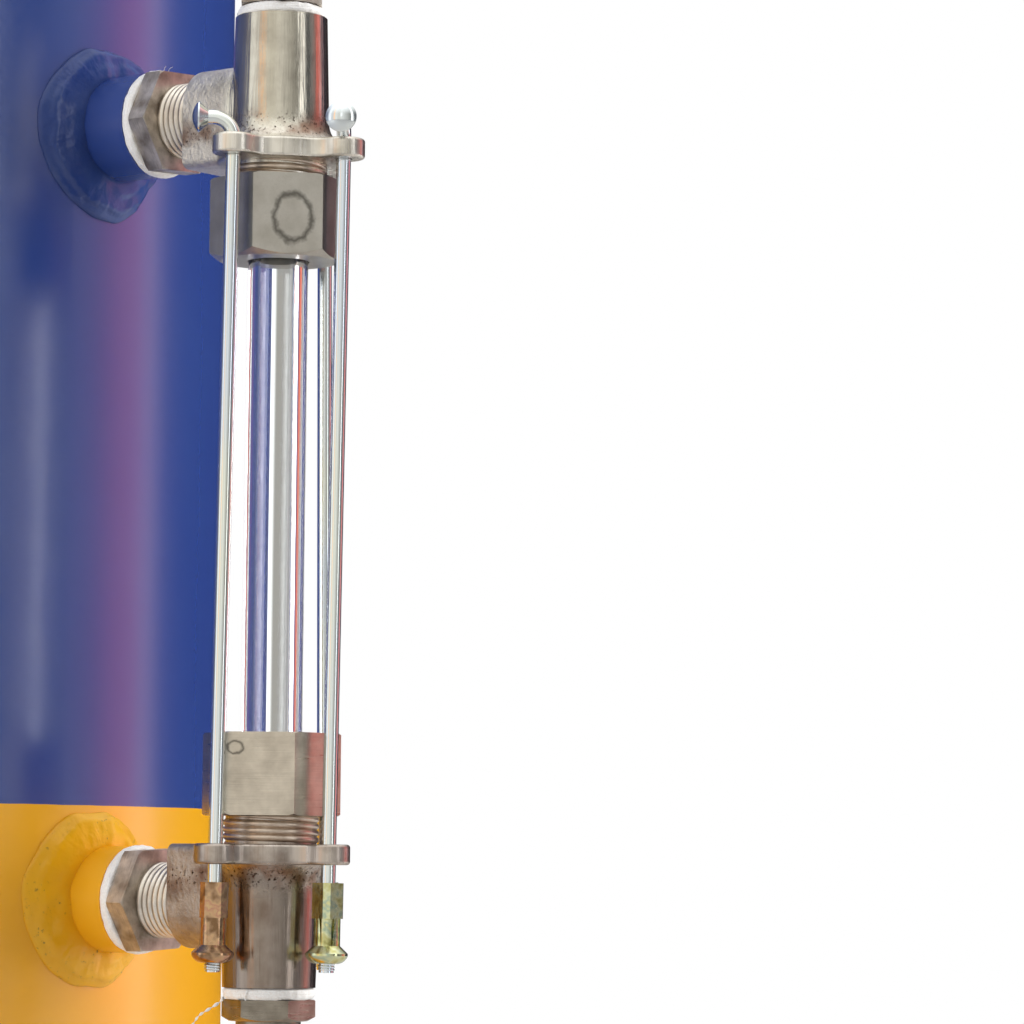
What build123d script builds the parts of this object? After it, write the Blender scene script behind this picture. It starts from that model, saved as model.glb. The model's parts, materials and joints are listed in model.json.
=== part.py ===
from build123d import *
from math import asin, cos, degrees, pi, radians, sin, sqrt, tan
import os

# Boiler water column with a tubular gauge glass, in millimetres.
# Z points up, and the origin is on the vessel's axis at ground level. The gauge glass stands
# upright on the vessel's -Y side, between two cast bodies on two sockets, one above the other.

# One overrun for every cut, and the working gap of threads and loose seats
overrun = 2.0
seat_gap = 0.15

# Vessel: a length of steel pipe between two dished ends, each a crown inside a rounded knuckle
shell_diameter = 273.0
shell_wall = 6.3
head_wall = 6.3
head_flange = 20.0
crown_radius_share = 0.8  # inside radius of an end's crown, as a share of the shell's diameter
knuckle_radius_share = 0.154  # inside radius of its knuckle, as the same kind of share
crown_clearance = 60.0  # from the ground to the bottom end
girth_bead_width = 13.0
girth_bead_height = 1.8

# Foot: a ring under the bottom end, on a flat base ring with anchor holes
base_thickness = 10.0
base_ledge = 8.0  # inside the foot ring
anchor_offset = 31.0  # from the foot ring out to the anchor holes
anchor_edge = 17.0  # from the anchor holes out to the rim
anchor_hole_diameter = 14.0
anchor_count = 4
foot_ring_diameter = 224.0
foot_ring_wall = 6.0
foot_vent_diameter = 26.0
foot_vent_height = 30.0  # above the base ring
foot_vent_count = 4
foot_bead_leg = 8.0

# Pipe threads, at the core diameter
gauge_thread_core = 18.6
neck_thread_core = 24.1
plug_thread_core = 15.0
service_thread_core = 30.3

# Sockets: short plain couplings set into the vessel and welded round
gauge_socket_diameter = 29.0
gauge_socket_bead = 10.0
service_socket_diameter = 41.0
service_socket_bead = 8.0
service_socket_reach = 24.0
socket_inside = 2.5  # how far a socket stands past the inner wall
bead_toe = 1.4  # thickness of a bead's edge
bead_rise_share = 0.45  # how far a bead climbs its socket, as a share of its width
drain_height = 52.0  # above the shell's lower seam

# Gauge: the two arm axes, and the glass axis in front of the shell
arm_pitch = 212.5
lower_arm_height = 84.0  # above the shell's lower seam
upper_arm_margin = 68.0  # below the shell's upper seam
gauge_standoff = 61.0
upper_boss_reach = 25.5  # glass axis to the end of the side boss
lower_boss_reach = 27.0
upper_thread_shown = 10.1
lower_thread_shown = 12.0
tape_ring_thickness = 3.2
tape_ring_diameter = 30.0

# Hexagon nipple between the socket and the side boss
nipple_flats = 27.0
nipple_hex_width = 5.8
nipple_angle = -3.0
nipple_engagement = 11.0
nipple_bore = 12.0

# Cast gauge body, measured from the arm axis along the glass axis
upper_body_end = 24.6
lower_body_end = 22.6
body_end_diameter = 24.8
body_collar_diameter = 26.3
collar_back = 9.8
collar_front = 15.2
collar_core_diameter = 33.6
collar_edge_radius = 0.9
collar_flare_rise = 6.4
collar_flare = 3.3
ear_circle_radius = 21.0
ear_radius = 5.65
ear_waist_radius = 6.4
ear_count = 3
upper_ear_angle = -4.5  # how far each casting's ears sit off square to its side boss
lower_ear_angle = -3.0
rod_hole_diameter = 4.5
boss_half_width = 10.8
boss_arch_offset = 2.0  # the round side's centre, beyond the arm axis
boss_corner_radius = 2.4
neck_length = 19.8
passage_diameter = 12.0
glass_pocket = 10.0

# Gland nut with its packing
nut_flats = 32.4
nut_height = 21.9
nut_lip = 3.6
upper_neck_shown = 4.3
lower_neck_shown = 7.5
upper_nut_angle = 41.4
lower_nut_angle = -0.8
hexagon_sides = 6
hexagon_chamfer_angle = 30.0
turned_end_share = 0.97  # turned circle of a chamfered hexagon end, as a share of its flats
sawn_end_share = 1.11  # the same where the corners are hardly broken

# Glass tube
glass_diameter = 16.0
glass_wall = 3.0
glass_end_gap = 0.3

# End plug and its tape
plug_flats = 21.6
plug_hex_height = 5.6
plug_end_height = 1.8
plug_end_share = 0.8  # turned end of a plug, as a share of its flats
plug_engagement = 9.0
plug_tape_height = 3.2
plug_tape_diameter = 25.2
upper_plug_angle = 20.0
lower_plug_angle = 5.0

# Guard rods: straight, then bent over the upper ears to a mushroom head
rod_diameter = 3.9
rod_bend_radius = 5.5
rod_lift = 4.4  # bent leg's axis above the upper ear
rod_leg = 1.3  # straight length between the bend and the head
rod_tail = 18.3  # below the lower arm axis
rod_head_diameter = 8.2
rod_head_taper = 2.3
rod_head_rim = 0.4
rod_head_dome = 1.7

# Long nipples on the rods' lower ends, measured from the lower arm axis
rod_nipple_top = 5.1
rod_nipple_square = 7.1
rod_nipple_corner = 1.4
rod_nipple_square_length = 9.3
rod_nipple_round = 7.0
rod_nipple_round_length = 7.1
rod_nipple_flange = 11.2
rod_nipple_cone = 2.0
rod_nipple_rim = 0.6
rod_nipple_dome = 2.1
rod_nipple_foot = 5.2
flute_width = 2.9
flute_depth = 0.55
flute_rise = 2.0  # how far the flutes run up into the square

# Radii and levels worked out from the sizes above
shell_radius = shell_diameter / 2
shell_length = lower_arm_height + arm_pitch + upper_arm_margin
shell_bore_radius = shell_radius - shell_wall
head_bore_radius = shell_radius - head_wall
crown_radius = shell_diameter * crown_radius_share
knuckle_radius = shell_diameter * knuckle_radius_share
knuckle_offset = head_bore_radius - knuckle_radius
crown_drop = sqrt((crown_radius - knuckle_radius) ** 2 - knuckle_offset ** 2)
head_depth = crown_radius - crown_drop + head_wall
crown_angle = degrees(asin(knuckle_offset / (crown_radius - knuckle_radius)))
bottom_seam = crown_clearance + head_depth + head_flange
top_seam = bottom_seam + shell_length
crown_top = top_seam + head_flange + head_depth
lower_arm = bottom_seam + lower_arm_height
upper_arm = lower_arm + arm_pitch
glass_offset = shell_radius + gauge_standoff
foot_ring_radius = foot_ring_diameter / 2
base_inner_radius = foot_ring_radius - foot_ring_wall - base_ledge
anchor_circle_radius = foot_ring_radius + anchor_offset
base_outer_radius = anchor_circle_radius + anchor_edge
neck_radius = neck_thread_core / 2
neck_end = collar_front + neck_length
pocket_floor = neck_end - glass_pocket
rod_radius = rod_diameter / 2


def upright(height):
    """Plane on the vessel's axis, facing up, at a height above the ground."""
    return Plane(origin=(0, 0, height))


def hanging(height):
    """Plane on the vessel's axis, facing down."""
    return Plane(origin=(0, 0, height), x_dir=(-1, 0, 0), z_dir=(0, 0, -1))


def radial(height, side):
    """Plane through the vessel's axis, facing out along -Y for side -1 and +Y for side 1."""
    return Plane(origin=(0, 0, height), x_dir=(-side, 0, 0), z_dir=(0, side, 0))


# Each gauge body has a frame on its arm axis: local z runs along the glass, and local y to the
# vessel. The upper casting is the lower one turned over about its arm.
lower_frame = Plane(origin=(0, -glass_offset, lower_arm), x_dir=(1, 0, 0), z_dir=(0, 0, 1))
upper_frame = Plane(origin=(0, -glass_offset, upper_arm), x_dir=(-1, 0, 0), z_dir=(0, 0, -1))


def half_section(frame):
    """Plane for a turned outline: its x runs out from the frame's axis, its y along it."""
    return Plane(origin=frame.origin, x_dir=frame.x_dir, z_dir=-frame.y_dir)


def turning_axis(frame):
    """The frame's own z axis, to turn an outline about."""
    return Axis(frame.origin, frame.z_dir)


def arm_plane(frame, reach):
    """Plane across an arm, at a reach from the glass axis and facing the vessel."""
    origin = frame.origin + frame.y_dir * reach
    return Plane(origin=origin, x_dir=(-1, 0, 0), z_dir=frame.y_dir)


def disc(plane, radius, length, mode=Mode.ADD):
    """Add or cut a round bar of the given length that starts on the plane."""
    with BuildSketch(plane) as face:
        Circle(radius)
    extrude(face.sketch, amount=length, mode=mode)


def hexagon_bar(plane, flats, height, turn, foot_share, head_share):
    """Start a part with a hexagon, its corners turned down to a circle at each end."""
    corner = flats / 2 / cos(pi / hexagon_sides)
    foot = flats / 2 * foot_share
    head = flats / 2 * head_share
    slope = tan(radians(hexagon_chamfer_angle))
    with BuildSketch(plane) as face:
        RegularPolygon(flats / 2, side_count=hexagon_sides, major_radius=False, rotation=turn)
    extrude(face.sketch, amount=height)
    with BuildSketch(half_section(plane)) as outline:
        with BuildLine():
            Polyline(
                (0, 0), (foot, 0), (corner, (corner - foot) * slope),
                (corner, height - (corner - head) * slope), (head, height), (0, height), close=True,
            )
        make_face()
    revolve(outline.sketch, axis=turning_axis(plane), mode=Mode.INTERSECT)


def end_arcs(wall):
    """Crown and knuckle of a dished end, this far outside its inner surface."""
    CenterArc((0, head_flange - crown_drop), crown_radius + wall, 90 - crown_angle, crown_angle)
    CenterArc((knuckle_offset, head_flange), knuckle_radius + wall, 0, 90 - crown_angle)


def end_cut(frame):
    """Cut away what a dished end and its vessel would fill, from the end's outer surface on."""
    with BuildSketch(half_section(frame)) as outline:
        with BuildLine() as arcs:
            end_arcs(head_wall)
            Polyline((0, head_flange + head_depth), (0, 0), (shell_radius, 0),
                     (shell_radius, head_flange))
        make_face(arcs.edges())
    revolve(outline.sketch, axis=turning_axis(frame), mode=Mode.SUBTRACT)


def end_rise(radius):
    """Height of an end's outer surface at this radius, above its straight flange."""
    return sqrt((crown_radius + head_wall) ** 2 - radius ** 2) - crown_drop


def vessel_shell():
    """Pipe shell with set-in holes for the gauge and drain sockets."""
    with BuildPart() as shell:
        disc(upright(bottom_seam), shell_radius, shell_length)
        disc(upright(bottom_seam), shell_bore_radius, shell_length, Mode.SUBTRACT)
        for height in (lower_arm, upper_arm):
            disc(radial(height, -1), gauge_socket_diameter / 2 + seat_gap, shell_diameter, Mode.SUBTRACT)
        drain_radius = service_socket_diameter / 2 + seat_gap
        disc(radial(bottom_seam + drain_height, 1), drain_radius, shell_diameter, Mode.SUBTRACT)
    return shell


def dished_end(frame, socket_radius=None):
    """Dished end with a straight flange, and a socket hole in its crown if one is asked for."""
    with BuildPart() as end:
        with BuildSketch(half_section(frame)):
            with BuildLine() as wall:
                end_arcs(0)
                end_arcs(head_wall)
                Line((0, head_flange + head_depth - head_wall), (0, head_flange + head_depth))
                Polyline((shell_radius, head_flange), (shell_radius, 0), (head_bore_radius, 0),
                         (head_bore_radius, head_flange))
            make_face(wall.edges())
        revolve(axis=turning_axis(frame))
        if socket_radius:
            disc(frame, socket_radius + seat_gap, head_flange + head_depth + overrun, Mode.SUBTRACT)
    return end


def girth_weld(height):
    """Low crowned bead round the seam between the shell and an end."""
    with BuildPart() as bead:
        with BuildSketch(half_section(upright(height))):
            with BuildLine():
                foot = (shell_radius, -girth_bead_width / 2)
                head = (shell_radius, girth_bead_width / 2)
                ThreePointArc(foot, (shell_radius + girth_bead_height, 0), head)
                Line(head, foot)
            make_face()
        revolve(axis=Axis.Z)
    return bead


def base_ring():
    """Flat ring with the anchor holes outside the foot ring."""
    with BuildPart() as base:
        disc(upright(0), base_outer_radius, base_thickness)
        disc(upright(0), base_inner_radius, base_thickness, Mode.SUBTRACT)
        with BuildSketch(upright(0)):
            with PolarLocations(anchor_circle_radius, anchor_count, start_angle=45):
                Circle(anchor_hole_diameter / 2)
        extrude(amount=base_thickness, mode=Mode.SUBTRACT)
    return base


def foot_ring():
    """Ring whose top edge is cut to the bottom end that it carries, with vent holes."""
    with BuildPart() as ring:
        height = bottom_seam - head_flange - base_thickness
        disc(upright(base_thickness), foot_ring_radius, height)
        disc(upright(base_thickness), foot_ring_radius - foot_ring_wall, height, Mode.SUBTRACT)
        end_cut(hanging(bottom_seam))
        vent_level = base_thickness + foot_vent_height
        for index in range(foot_vent_count):
            angle = 2 * pi * index / foot_vent_count
            out = (cos(angle), sin(angle), 0)
            disc(Plane(origin=(0, 0, vent_level), z_dir=out), foot_vent_diameter / 2,
                 foot_ring_diameter, Mode.SUBTRACT)
    return ring


def foot_weld():
    """Fillet bead in the corner between the foot ring and the bottom end."""
    ring_radius = foot_ring_radius
    corner = bottom_seam - head_flange - end_rise(ring_radius)
    with BuildPart() as bead:
        with BuildSketch(half_section(upright(0))):
            with BuildLine():
                Polyline(
                    (ring_radius, corner - foot_bead_leg),
                    (ring_radius + foot_bead_leg, corner),
                    (ring_radius + foot_bead_leg, corner + foot_bead_leg),
                    (ring_radius, corner + foot_bead_leg), close=True,
                )
            make_face()
        revolve(axis=Axis.Z)
        end_cut(hanging(bottom_seam))
    return bead


def socket(plane, inner, outer, radius, bore_radius):
    """Plain coupling from inside the vessel's wall to its outer end."""
    with BuildPart() as coupling:
        disc(plane.offset(inner), radius, outer - inner)
        disc(plane.offset(inner), bore_radius, outer - inner, Mode.SUBTRACT)
    return coupling


def bead_outline(plane, surface, radius, leg, sink):
    """Turn a wide, low bead round a socket, sunk below the surface for the wall to trim."""
    with BuildSketch(half_section(plane)) as outline:
        with BuildLine():
            rise = leg * bead_rise_share
            top = (radius + bead_toe, surface + rise)
            toe = (radius + leg, surface + bead_toe)
            bulge = ((top[0] + toe[0]) / 2 + bead_toe, (top[1] + toe[1]) / 2 + bead_toe)
            ThreePointArc(top, bulge, toe)
            Polyline(
                toe, (radius + leg, surface - sink), (radius, surface - sink),
                (radius, surface + rise), top,
            )
        make_face()
    revolve(outline.sketch, axis=turning_axis(plane))


def shell_socket_weld(plane, radius, leg):
    """Bead round a socket in the shell, cut to the shell's round surface."""
    sink = shell_radius - sqrt(shell_radius ** 2 - (radius + leg) ** 2) + overrun
    with BuildPart() as bead:
        bead_outline(plane, shell_radius, radius, leg, sink)
        disc(upright(0), shell_radius, crown_top, Mode.SUBTRACT)
    return bead


def crown_socket_weld(radius, leg):
    """Bead round the socket on the crown, cut to the dished end."""
    sink = head_depth - end_rise(radius + leg) + overrun
    with BuildPart() as bead:
        bead_outline(upright(0), crown_top, radius, leg, sink)
        end_cut(upright(top_seam))
    return bead


def tape_ring(frame, start):
    """Sealing tape squeezed between the nipple's hexagon and the socket."""
    plane = arm_plane(frame, start)
    with BuildPart() as ring:
        disc(plane, tape_ring_diameter / 2, tape_ring_thickness)
        outer_edges = ring.edges().filter_by(GeomType.CIRCLE)
        fillet(outer_edges, tape_ring_thickness / 3)
        disc(plane, gauge_thread_core / 2 + seat_gap, tape_ring_thickness, Mode.SUBTRACT)
    return ring


def hexagon_nipple(frame, boss_reach, start):
    """Nipple with a thin hexagon, threaded into the side boss and into the socket."""
    plane = arm_plane(frame, start)
    with BuildPart() as nipple:
        hexagon_bar(plane, nipple_flats, nipple_hex_width, nipple_angle, sawn_end_share, sawn_end_share)
        boss_end = boss_reach - nipple_engagement
        disc(arm_plane(frame, boss_end), gauge_thread_core / 2, start - boss_end)
        socket_length = nipple_hex_width + tape_ring_thickness + nipple_engagement
        disc(plane, gauge_thread_core / 2, socket_length)
        bore_length = start - boss_end + socket_length
        disc(arm_plane(frame, boss_end), nipple_bore / 2, bore_length, Mode.SUBTRACT)
    return nipple


def ear_places(ear_angle):
    """Places of the three ears: to both sides and away from the vessel, turned a little."""
    return PolarLocations(
        ear_circle_radius, ear_count, start_angle=180 + ear_angle, angular_range=180, endpoint=True
    )


def gauge_body(frame, ear_angle, body_end, boss_reach):
    """One casting: tapered body, collar with three ears, neck, and arched side boss."""
    with BuildPart() as body:
        # Collar with ears, waisted between them
        with BuildSketch(frame.offset(collar_back)):
            Circle(collar_core_diameter / 2)
            with ear_places(ear_angle):
                Circle(ear_radius)
                Rectangle(ear_circle_radius, 2 * ear_radius, align=(Align.MAX, Align.CENTER))
            fillet(vertices().sort_by_distance((0, 0, 0))[: 2 * ear_count], ear_waist_radius)
        extrude(amount=collar_front - collar_back)
        fillet(body.edges().filter_by(Plane.XY), collar_edge_radius)

        # Tapered body that flares into the collar's back
        with BuildSketch(half_section(frame)):
            with BuildLine():
                end_radius = body_end_diameter / 2
                flare_foot = (body_collar_diameter / 2, collar_back - collar_flare_rise)
                flare_rim = (body_collar_diameter / 2 + collar_flare, collar_back)
                Polyline((0, collar_back), (0, -body_end), (end_radius, -body_end), flare_foot)
                TangentArc(flare_foot, flare_rim, tangent=(0, 1))
                Polyline(flare_rim, (flare_rim[0], collar_front - collar_edge_radius),
                         (0, collar_front - collar_edge_radius), (0, collar_back))
            make_face()
        revolve(axis=turning_axis(frame))

        # Neck that takes the gland nut
        disc(frame, neck_radius, neck_end)

        # Side boss: round on the body's side, flat and flush with the collar's front
        with BuildSketch(Plane(origin=frame.origin, x_dir=frame.x_dir, z_dir=frame.y_dir)) as arch:
            with Locations((0, boss_arch_offset)):
                Circle(boss_half_width)
            flat_side = boss_arch_offset + collar_front
            with Locations((0, boss_arch_offset - flat_side / 2)):
                Rectangle(2 * boss_half_width, flat_side)
            fillet(arch.vertices().group_by(Axis.Y)[0], boss_corner_radius)
        extrude(amount=boss_reach)

        # Passages: along the glass, into the arm, and the threads that take plug and nipple
        disc(frame.offset(-body_end), passage_diameter / 2, body_end + neck_end, Mode.SUBTRACT)
        disc(frame.offset(-body_end), plug_thread_core / 2 + seat_gap, plug_engagement + overrun,
             Mode.SUBTRACT)
        disc(frame.offset(pocket_floor), glass_diameter / 2 + 2 * seat_gap, glass_pocket,
             Mode.SUBTRACT)
        disc(arm_plane(frame, 0), passage_diameter / 2, boss_reach, Mode.SUBTRACT)
        thread_floor = boss_reach - nipple_engagement - seat_gap
        disc(arm_plane(frame, thread_floor), gauge_thread_core / 2 + seat_gap,
             boss_reach - thread_floor, Mode.SUBTRACT)

        # Rod holes through the ears
        with BuildSketch(frame.offset(collar_back)):
            with ear_places(ear_angle):
                Circle(rod_hole_diameter / 2)
        extrude(amount=collar_front - collar_back, mode=Mode.SUBTRACT)
    return body


def gland_nut(frame, shown, turn, glass_end_share):
    """Hexagon nut on the neck, with a lip round the glass that holds the packing."""
    plane = frame.offset(collar_front + shown)
    with BuildPart() as nut:
        hexagon_bar(plane, nut_flats, nut_height, turn, sawn_end_share, glass_end_share)
        disc(plane, neck_radius + seat_gap, nut_height - nut_lip, Mode.SUBTRACT)
        disc(plane, glass_diameter / 2 + 2 * seat_gap, nut_height, Mode.SUBTRACT)
    return nut


def packing(frame, shown):
    """Packing ring between the neck's end and the nut's lip."""
    height = collar_front + shown + nut_height - nut_lip - neck_end
    with BuildPart() as ring:
        disc(frame.offset(neck_end), neck_radius, height)
        disc(frame.offset(neck_end), glass_diameter / 2 + seat_gap, height, Mode.SUBTRACT)
    return ring


def gauge_glass():
    """Straight glass tube between the pockets in the two necks."""
    foot = lower_frame.offset(pocket_floor + glass_end_gap)
    length = arm_pitch - 2 * (pocket_floor + glass_end_gap)
    with BuildPart() as glass:
        disc(foot, glass_diameter / 2, length)
        disc(foot, glass_diameter / 2 - glass_wall, length, Mode.SUBTRACT)
    return glass


def plug_tape(frame, body_end):
    """Wrapped tape squeezed between the body's end and the plug."""
    plane = frame.offset(-body_end - plug_tape_height)
    with BuildPart() as tape:
        disc(plane, plug_tape_diameter / 2, plug_tape_height)
        fillet(tape.edges().filter_by(GeomType.CIRCLE), plug_tape_height / 3)
        disc(plane, plug_thread_core / 2 + seat_gap, plug_tape_height, Mode.SUBTRACT)
    return tape


def end_plug(frame, body_end, turn):
    """Hexagon plug screwed into the body's end."""
    head_end = -body_end - plug_tape_height - plug_hex_height
    with BuildPart() as plug:
        hexagon_bar(frame.offset(head_end), plug_flats, plug_hex_height, turn, turned_end_share,
                    sawn_end_share)
        disc(frame.offset(head_end - plug_end_height), plug_flats / 2 * plug_end_share, plug_end_height)
        disc(frame.offset(head_end), plug_thread_core / 2,
             plug_hex_height + plug_tape_height + plug_engagement)
    return plug


def ear_centre(frame, ear_angle, index):
    """Centre of an ear at the collar's back face; the upper casting is turned over."""
    side = frame.x_dir.X
    angle = radians(180 + 90 * index + side * ear_angle)
    middle = frame.origin + Vector(cos(angle), sin(angle), 0) * ear_circle_radius
    return middle + frame.z_dir * (collar_back + collar_front) / 2


def rod_frame(index):
    """Frame at the level of the lower arm axis, with its z along the rod."""
    low = ear_centre(lower_frame, lower_ear_angle, index)
    along = (ear_centre(upper_frame, upper_ear_angle, index) - low).normalized()
    drop = (collar_back + collar_front) / 2 / along.Z
    return Plane(origin=low - along * drop, x_dir=(1, 0, 0), z_dir=along)


def guard_rod(index, bend_angle):
    """Rod from below the lower ear up through the upper one, bent over it to its head."""
    frame = rod_frame(index)
    along = frame.z_dir
    level = Vector(cos(radians(bend_angle)), sin(radians(bend_angle)), 0)
    aside = (level - along * level.dot(along)).normalized()
    bend_start = (arm_pitch - collar_back + rod_lift) / along.Z - rod_bend_radius
    leg_level = bend_start + rod_bend_radius
    head_start = rod_bend_radius + rod_leg
    tail = frame.origin - along * rod_tail
    head_root = frame.origin + along * leg_level + aside * head_start
    with BuildPart() as rod:
        disc(Plane(origin=tail, z_dir=along), rod_radius, rod_tail + bend_start)
        bend_foot = frame.origin + along * bend_start
        with BuildSketch(Plane(origin=bend_foot, z_dir=along)):
            Circle(rod_radius)
        bend_axis = Axis(bend_foot + aside * rod_bend_radius, along.cross(aside))
        revolve(axis=bend_axis, revolution_arc=90)
        leg_foot = frame.origin + along * leg_level + aside * rod_bend_radius
        disc(Plane(origin=leg_foot, z_dir=aside), rod_radius, rod_leg)
        head = Plane(origin=head_root, x_dir=along, z_dir=aside)
        with BuildSketch(half_section(head)):
            with BuildLine():
                head_radius = rod_head_diameter / 2
                rim_low = rod_head_taper
                rim_high = rod_head_taper + rod_head_rim
                dome_top = rim_high + rod_head_dome
                neck = (rod_radius, 0)
                rim = (head_radius, rim_low)
                Polyline(neck, rim, (head_radius, rim_high))
                dome_radius = (head_radius ** 2 + rod_head_dome ** 2) / (2 * rod_head_dome)
                dome_angle = degrees(asin(head_radius / dome_radius))
                CenterArc((0, dome_top - dome_radius), dome_radius, 90 - dome_angle, dome_angle)
                Polyline((0, dome_top), (0, 0), neck)
            make_face()
        revolve(axis=turning_axis(head))
    return rod


def rod_nipple(index, screwed_angle):
    """Long nipple: square with cut corners, fluted round, coned flange and domed foot."""
    frame = rod_frame(index).rotated((0, 0, screwed_angle))
    square_foot = rod_nipple_top - rod_nipple_square_length
    round_foot = square_foot - rod_nipple_round_length
    rim_top = round_foot - rod_nipple_cone
    rim_foot = rim_top - rod_nipple_rim
    dome_foot = rim_foot - rod_nipple_dome
    with BuildPart() as nipple:
        with BuildSketch(frame.offset(square_foot)):
            Rectangle(rod_nipple_square, rod_nipple_square)
            chamfer(vertices(), rod_nipple_corner)
        extrude(amount=rod_nipple_square_length)
        disc(frame.offset(round_foot), rod_nipple_round / 2, rod_nipple_round_length)
        for index_flute in range(4):
            turned = frame.rotated((0, 0, 90 * index_flute))
            face = Plane(
                origin=turned.origin + turned.x_dir * (rod_nipple_square / 2 - flute_depth),
                x_dir=turned.y_dir, z_dir=turned.x_dir,
            )
            with BuildSketch(face):
                arch = square_foot + flute_rise - flute_width / 2
                with Locations((0, (arch + round_foot) / 2)):
                    Rectangle(flute_width, arch - round_foot)
                with Locations((0, arch)):
                    Circle(flute_width / 2)
            extrude(amount=flute_depth, mode=Mode.SUBTRACT)
        with BuildSketch(half_section(frame)):
            with BuildLine():
                flange_radius = rod_nipple_flange / 2
                Polyline((rod_nipple_foot / 2, dome_foot), (0, dome_foot), (0, round_foot),
                         (rod_nipple_round / 2, round_foot), (flange_radius, rim_top),
                         (flange_radius, rim_foot))
                bulge = ((flange_radius + rod_nipple_foot / 2) / 2 + rod_nipple_rim,
                         rim_foot - rod_nipple_dome / 2 - rod_nipple_rim / 2)
                ThreePointArc((flange_radius, rim_foot), bulge, (rod_nipple_foot / 2, dome_foot))
            make_face()
        revolve(axis=turning_axis(frame))
        disc(frame.offset(dome_foot), rod_radius + seat_gap, rod_nipple_top - dome_foot,
             Mode.SUBTRACT)
    return nipple


# Where the pieces of each arm start, measured from the glass axis
upper_hex_start = upper_boss_reach + upper_thread_shown
lower_hex_start = lower_boss_reach + lower_thread_shown
upper_tape_start = upper_hex_start + nipple_hex_width
lower_tape_start = lower_hex_start + nipple_hex_width
upper_socket_reach = glass_offset - upper_tape_start - tape_ring_thickness
lower_socket_reach = glass_offset - lower_tape_start - tape_ring_thickness
socket_root = shell_bore_radius - socket_inside
gauge_socket_bore = gauge_thread_core / 2 + seat_gap
service_radius = service_socket_diameter / 2
service_bore = service_thread_core / 2
upper_arm_plane = radial(upper_arm, -1)
lower_arm_plane = radial(lower_arm, -1)
drain_plane = radial(bottom_seam + drain_height, 1)
crown_root = crown_top - head_wall - socket_inside
crown_end = crown_top + service_socket_reach

# Directions of the rods' bent ends: to the vessel's left, outwards, and in behind the body.
# Each nipple's flats face as it happened to be screwed up.
rod_bend_angles = {"left": 130.0, "front": 214.0, "right": 60.0}
nipple_angles = {"left": 36.0, "front": -9.0, "right": 30.0}

pieces = {
    "vessel_shell": vessel_shell(),
    "top_dished_end": dished_end(upright(top_seam), service_radius),
    "bottom_dished_end": dished_end(hanging(bottom_seam)),
    "upper_girth_weld": girth_weld(top_seam),
    "lower_girth_weld": girth_weld(bottom_seam),
    "base_ring": base_ring(),
    "foot_ring": foot_ring(),
    "foot_ring_weld": foot_weld(),
    "top_socket": socket(upright(0), crown_root, crown_end, service_radius, service_bore),
    "top_socket_weld": crown_socket_weld(service_radius, service_socket_bead),
    "drain_socket": socket(drain_plane, socket_root, shell_radius + service_socket_reach,
                           service_radius, service_bore),
    "drain_socket_weld": shell_socket_weld(drain_plane, service_radius, service_socket_bead),
    "upper_gauge_socket": socket(upper_arm_plane, socket_root, upper_socket_reach,
                                 gauge_socket_diameter / 2, gauge_socket_bore),
    "lower_gauge_socket": socket(lower_arm_plane, socket_root, lower_socket_reach,
                                 gauge_socket_diameter / 2, gauge_socket_bore),
    "upper_socket_weld": shell_socket_weld(upper_arm_plane, gauge_socket_diameter / 2,
                                           gauge_socket_bead),
    "lower_socket_weld": shell_socket_weld(lower_arm_plane, gauge_socket_diameter / 2,
                                           gauge_socket_bead),
    "upper_arm_tape": tape_ring(upper_frame, upper_tape_start),
    "lower_arm_tape": tape_ring(lower_frame, lower_tape_start),
    "upper_hex_nipple": hexagon_nipple(upper_frame, upper_boss_reach, upper_hex_start),
    "lower_hex_nipple": hexagon_nipple(lower_frame, lower_boss_reach, lower_hex_start),
    "upper_gauge_body": gauge_body(upper_frame, upper_ear_angle, upper_body_end, upper_boss_reach),
    "lower_gauge_body": gauge_body(lower_frame, lower_ear_angle, lower_body_end, lower_boss_reach),
    "upper_gland_nut": gland_nut(upper_frame, upper_neck_shown, upper_nut_angle, turned_end_share),
    "lower_gland_nut": gland_nut(lower_frame, lower_neck_shown, lower_nut_angle, sawn_end_share),
    "upper_packing": packing(upper_frame, upper_neck_shown),
    "lower_packing": packing(lower_frame, lower_neck_shown),
    "gauge_glass": gauge_glass(),
    "upper_plug_tape": plug_tape(upper_frame, upper_body_end),
    "lower_plug_tape": plug_tape(lower_frame, lower_body_end),
    "upper_end_plug": end_plug(upper_frame, upper_body_end, upper_plug_angle),
    "lower_end_plug": end_plug(lower_frame, lower_body_end, lower_plug_angle),
}
for index, (name, bend_angle) in enumerate(rod_bend_angles.items()):
    pieces[f"guard_rod_{name}"] = guard_rod(index, bend_angle)
    pieces[f"rod_nipple_{name}"] = rod_nipple(index, nipple_angles[name])

os.makedirs("parts", exist_ok=True)
for name, piece in pieces.items():
    piece.part.label = name
    export_step(piece.part, f"parts/{name}.step")

print("glass axis y", -glass_offset, "lower arm z", lower_arm, "upper arm z", upper_arm)
print("crown top z", crown_top, "top socket end z", crown_end, "bottom seam z", bottom_seam)
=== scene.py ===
# %% [markdown]
# Boiler water column with a tubular gauge glass
#
# A glass tube beside a boiler's vessel shows how high the water stands. The CAD model gives every
# solid of the vessel and its gauge at its real size and place. This script dresses them with paint,
# ground castings, zinc, glass, tape, threads and weld beads, one step at a time. The solids could
# be modelled again in Blender, but then their sizes would no longer be the ones that were checked.
# Lengths are in metres, and mm() turns a value in millimetres where it is used.

# %% The frame
import bmesh
import bpy
import json
from math import cos, pi, radians, sin, sqrt, tau
from mathutils import Matrix, Vector, noise


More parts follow.
